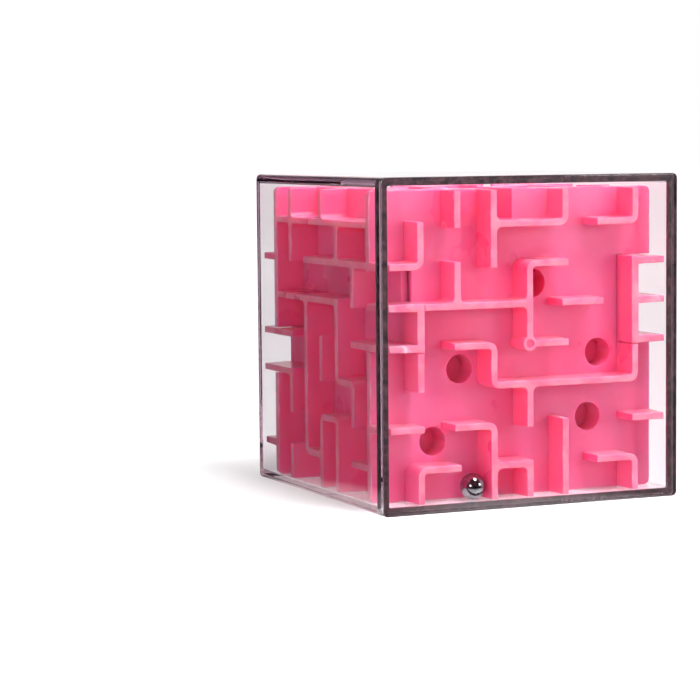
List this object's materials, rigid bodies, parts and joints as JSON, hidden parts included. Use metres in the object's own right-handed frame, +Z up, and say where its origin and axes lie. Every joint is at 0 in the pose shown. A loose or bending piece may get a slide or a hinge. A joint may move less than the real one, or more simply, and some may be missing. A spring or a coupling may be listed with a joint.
{
  "type": "tilt maze game",
  "caption": "Hand-held clear cube holding a six-sided plastic maze core, through whose corridors and round traps a loose steel ball is rolled by tilting.",
  "frame": {"origin": "centre of the underside of the clear cube", "axes": "+Z up, -Y out through the front pane, +X to the right as seen from the front"},
  "size_m": [0.08, 0.08, 0.08],
  "materials": {
    "clear_case": "clear polished polystyrene",
    "pink_core": "moulded, semi-gloss",
    "polished_steel": "mirror polished"
  },
  "bodies": {
    "cube": {"case_box": "clear_case", "case_lid": "clear_case", "front_panel": "pink_core", "back_panel": "pink_core", "left_panel": "pink_core", "right_panel": "pink_core", "top_panel": "pink_core", "bottom_panel": "pink_core"},
    "ball": {"steel_ball": "polished_steel"}
  },
  "joints": [
    {"name": "ball_roll", "type": "slide", "parent": "cube", "child": "ball", "axis": [1, 0, 0], "range_m": [-0.0108, 0]}
  ]
}
